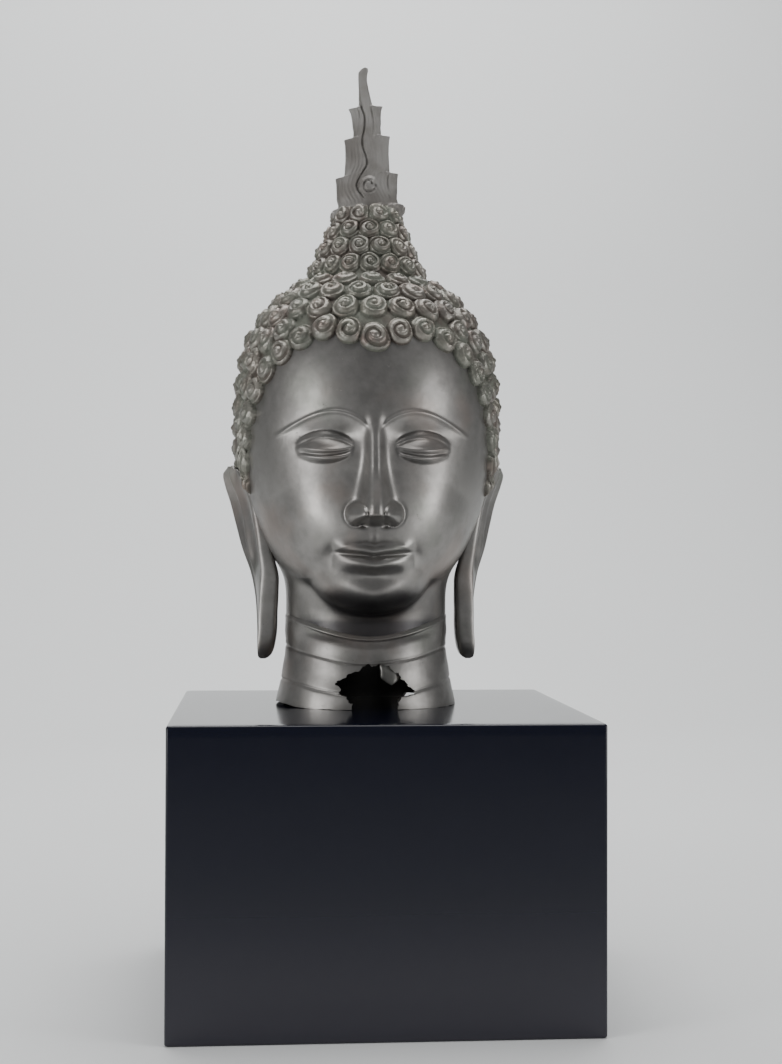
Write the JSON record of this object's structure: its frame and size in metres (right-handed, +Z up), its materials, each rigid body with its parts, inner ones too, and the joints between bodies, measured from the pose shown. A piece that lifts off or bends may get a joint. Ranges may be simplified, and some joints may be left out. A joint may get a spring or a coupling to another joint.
{
  "type": "bronze buddha head on plinth",
  "caption": "Hollow cast bronze buddha head with snail curls, long ears and a stepped flame, standing on a square black lacquered plinth for display.",
  "frame": {"origin": "centre of the plinth's underside", "axes": "+Z up, the face looks towards -Y, +X to the viewer's right"},
  "size_m": [0.265, 0.265, 0.6289],
  "materials": {
    "bronze": "worn dark silvery-grey patina over cast bronze, polished on the face, neck and ears",
    "lacquer": "gloss black lacquer"
  },
  "bodies": {
    "root": {"buddha_head": "bronze", "plinth_block": "lacquer"}
  },
  "joints": []
}
